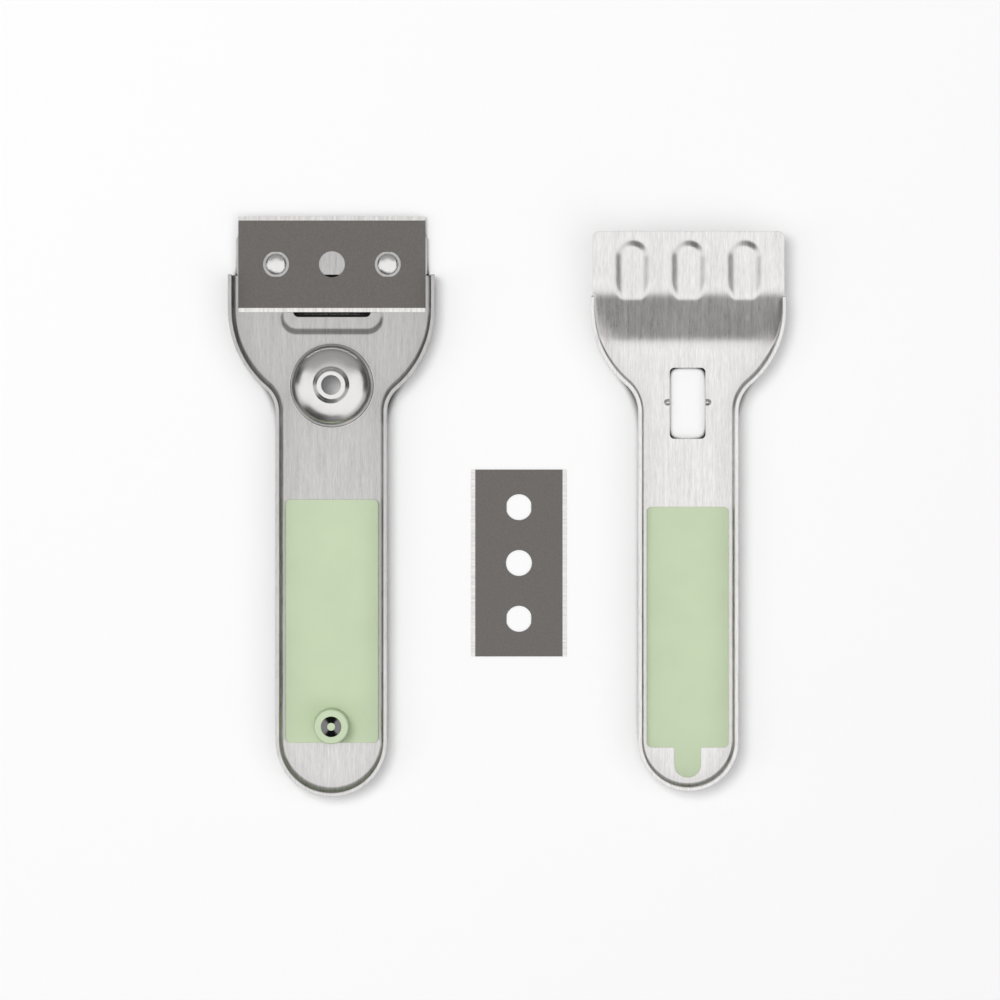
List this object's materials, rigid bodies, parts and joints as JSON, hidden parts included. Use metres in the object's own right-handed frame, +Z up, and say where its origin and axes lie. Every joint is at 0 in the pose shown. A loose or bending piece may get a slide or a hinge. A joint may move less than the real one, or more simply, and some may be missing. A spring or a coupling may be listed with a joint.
{
  "type": "ceramic hob scraper",
  "caption": "Sheet steel hob scraper laid open: holder half with fitted blade, dome and spacer post, nesting cover half with window, and a spare blade.",
  "frame": {"origin": "centre of the footprint of the laid-open scraper, on the table that it lies on", "axes": "+Y along the handles towards the blade, +X from the holder half to the cover half, +Z up out of the table"},
  "size_m": [0.1278, 0.1332, 0.0094],
  "materials": {
    "sheet_steel": "stainless sheet brushed along the handle, dome left bright",
    "polished_steel": "bright polished",
    "green_plastic": "pale green moulded plastic, fine satin",
    "blade_steel": "dark matt blade steel with bright ground edges"
  },
  "bodies": {
    "holder": {"holder_shell": "sheet_steel", "locating_studs": "polished_steel", "holder_grip": "green_plastic", "post_ring": "polished_steel", "fitted_blade": "blade_steel"},
    "spare_blade": {"spare_blade": "blade_steel"},
    "cover": {"cover_shell": "sheet_steel", "cover_grip": "green_plastic"}
  },
  "joints": [
    {"name": "guard_slide", "type": "slide", "parent": "holder", "child": "spare_blade", "axis": [0, 1, 0], "range_m": [0, 0.0081]},
    {"name": "cover_flip", "type": "hinge", "parent": "spare_blade", "child": "cover", "pos_m": [0.00065, 0, 0.00532], "axis": [0, -1, 0], "range_deg": [0, 180]}
  ]
}
